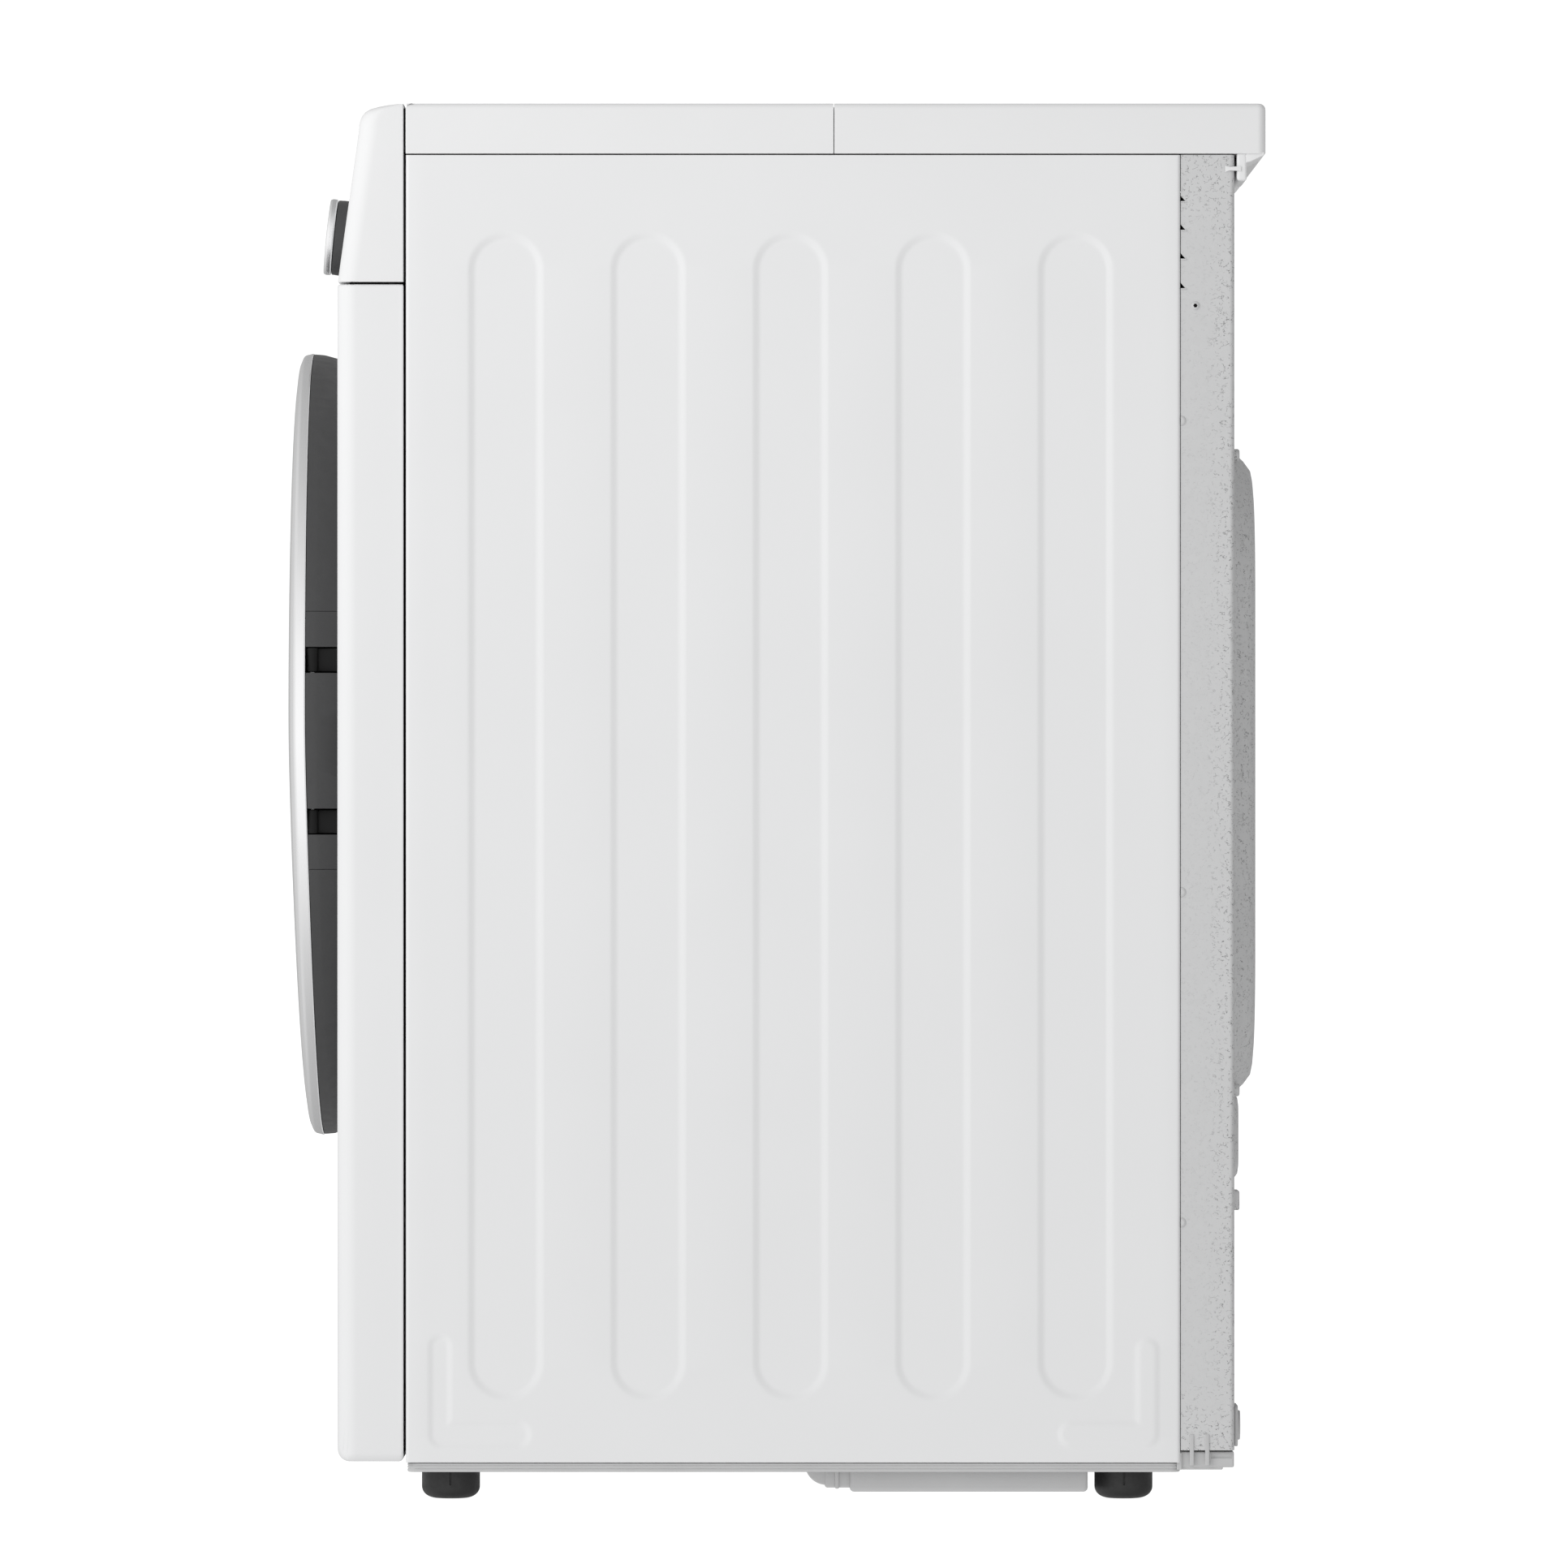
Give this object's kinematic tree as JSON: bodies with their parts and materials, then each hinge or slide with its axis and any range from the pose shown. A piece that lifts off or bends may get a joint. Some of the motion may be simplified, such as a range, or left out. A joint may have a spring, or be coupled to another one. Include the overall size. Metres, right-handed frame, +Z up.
{
  "type": "clothes dryer",
  "caption": "Front-loading heat pump tumble dryer with a round door, programme knob, water tank drawer, lint filter, turning drum and levelling feet.",
  "frame": {"origin": "on the floor, under the middle of the machine's outline", "axes": "+Z up, the door and controls face -Y, +X is the right-hand side of someone facing the machine"},
  "size_m": [0.6, 0.597, 0.85],
  "materials": {
    "white_enamel": "smooth white enamel, slightly glossy",
    "white_plastic": "moulded white plastic, fine texture",
    "white_laminate": "white laminate on board",
    "grey_plastic": "moulded mid grey plastic",
    "dark_plastic": "satin dark grey plastic",
    "bright_rim": "satin bright metal plating",
    "dark_glass": "dark tinted glass, glossy",
    "clear_glass": "clear moulded glass",
    "rubber": "matt black rubber",
    "felt": "pressed felt",
    "galvanised_steel": "galvanised sheet with a fine spangle",
    "stainless_steel": "brushed stainless steel",
    "circuit_board": "circuit board",
    "black_steel": "black painted steel",
    "aluminium_fins": "bare aluminium",
    "filter_mesh": "plastic frame with fine mesh"
  },
  "bodies": {
    "cabinet": {"side_panel_left": "white_enamel", "side_panel_right": "white_enamel", "front_panel": "white_enamel", "top_trim_front": "white_plastic", "top_trim_rear": "white_plastic", "control_fascia": "white_plastic", "top_board": "white_laminate", "base_pan": "grey_plastic", "drain_outlet": "grey_plastic", "tank_sleeve": "grey_plastic", "front_bulkhead": "grey_plastic", "drum_throat": "grey_plastic", "door_catch": "dark_plastic", "fan_housing": "dark_plastic", "drain_pump": "dark_plastic", "display_window": "dark_glass", "door_seal": "rubber", "cord_gland": "rubber", "drum_belt": "rubber", "front_drum_seal": "felt", "rear_panel": "galvanised_steel", "rear_duct_cover": "galvanised_steel", "motor_body": "galvanised_steel", "control_board": "circuit_board", "hinge_bracket": "black_steel", "compressor": "black_steel", "bearing_housing": "aluminium_fins", "evaporator": "aluminium_fins", "condenser": "aluminium_fins"},
    "door": {"door_rim": "bright_rim", "door_glass": "dark_glass", "door_bowl": "clear_glass", "door_back_ring": "dark_plastic", "door_grip": "dark_plastic", "hinge_cover": "dark_plastic", "hinge_leaf": "galvanised_steel", "door_latch_hook": "galvanised_steel"},
    "knob": {"knob_base": "dark_plastic", "knob_bezel": "bright_rim"},
    "power_button": {"power_button": "white_plastic"},
    "start_button": {"start_button": "white_plastic"},
    "water_tank": {"tank_vessel": "white_plastic", "tank_front": "white_plastic"},
    "lint_filter": {"lint_filter_outer": "filter_mesh"},
    "inner_lint_filter": {"lint_filter_inner": "filter_mesh"},
    "drum": {"drum_shell": "stainless_steel", "drum_back": "stainless_steel", "drum_shaft": "black_steel", "lifter_1": "grey_plastic", "lifter_2": "grey_plastic", "lifter_3": "grey_plastic"},
    "roller_left": {"roller_left": "rubber"},
    "roller_right": {"roller_right": "rubber"},
    "motor_rotor": {"motor_pulley": "black_steel", "fan_wheel": "dark_plastic"},
    "idler_pulley": {"idler_pulley": "dark_plastic"},
    "foot_front_left": {"foot_front_left": "rubber"},
    "foot_front_right": {"foot_front_right": "rubber"},
    "foot_rear_left": {"foot_rear_left": "rubber"},
    "foot_rear_right": {"foot_rear_right": "rubber"}
  },
  "joints": [
    {"name": "door_hinge", "type": "hinge", "parent": "cabinet", "child": "door", "pos_m": [0.2345, -0.2835, 0.461], "axis": [0, 0, 1], "range_deg": [0, 125]},
    {"name": "knob_turn", "type": "hinge", "parent": "cabinet", "child": "knob", "pos_m": [0, -0.26127, 0.7775], "axis": [0, -0.9947, 0.1028], "continuous": true},
    {"name": "power_press", "type": "slide", "parent": "cabinet", "child": "power_button", "axis": [0, 0.9905, -0.1374], "range_m": [0, 0.0015], "stiffness_N_per_m": 1500},
    {"name": "start_press", "type": "slide", "parent": "cabinet", "child": "start_button", "axis": [0, 0.9905, -0.1374], "range_m": [0, 0.0015], "stiffness_N_per_m": 1500},
    {"name": "tank_slide", "type": "slide", "parent": "cabinet", "child": "water_tank", "axis": [0, -1, 0], "range_m": [0, 0.36]},
    {"name": "filter_lift", "type": "slide", "parent": "cabinet", "child": "lint_filter", "axis": [0, 0, 1], "range_m": [0, 0.155]},
    {"name": "inner_filter_lift", "type": "slide", "parent": "lint_filter", "child": "inner_lint_filter", "axis": [0, 0, 1], "range_m": [0, 0.145]},
    {"name": "drum_spin", "type": "hinge", "parent": "cabinet", "child": "drum", "pos_m": [0, 0.0335, 0.461], "axis": [0, 1, 0], "continuous": true},
    {"name": "roller_left_spin", "type": "hinge", "parent": "cabinet", "child": "roller_left", "pos_m": [-0.17408, -0.1395, 0.21239], "axis": [0, 1, 0], "continuous": true},
    {"name": "roller_right_spin", "type": "hinge", "parent": "cabinet", "child": "roller_right", "pos_m": [0.17408, -0.1395, 0.21239], "axis": [0, 1, 0], "continuous": true},
    {"name": "motor_spin", "type": "hinge", "parent": "cabinet", "child": "motor_rotor", "pos_m": [-0.19, 0.0335, 0.125], "axis": [0, 1, 0], "continuous": true},
    {"name": "idler_spin", "type": "hinge", "parent": "cabinet", "child": "idler_pulley", "pos_m": [-0.23856, 0.0065, 0.20541], "axis": [0, 1, 0], "continuous": true},
    {"name": "foot_front_left_screw", "type": "slide", "parent": "cabinet", "child": "foot_front_left", "axis": [0, 0, -1], "range_m": [0, 0.012]},
    {"name": "foot_front_right_screw", "type": "slide", "parent": "cabinet", "child": "foot_front_right", "axis": [0, 0, -1], "range_m": [0, 0.012]},
    {"name": "foot_rear_left_screw", "type": "slide", "parent": "cabinet", "child": "foot_rear_left", "axis": [0, 0, -1], "range_m": [0, 0.012]},
    {"name": "foot_rear_right_screw", "type": "slide", "parent": "cabinet", "child": "foot_rear_right", "axis": [0, 0, -1], "range_m": [0, 0.012]}
  ],
  "couplings": [
    {"joint": "roller_left_spin", "follows": "drum_spin", "ratio": -11.12},
    {"joint": "roller_right_spin", "follows": "drum_spin", "ratio": -11.12},
    {"joint": "motor_spin", "follows": "drum_spin", "ratio": 27.8},
    {"joint": "idler_spin", "follows": "drum_spin", "ratio": -19.857}
  ]
}
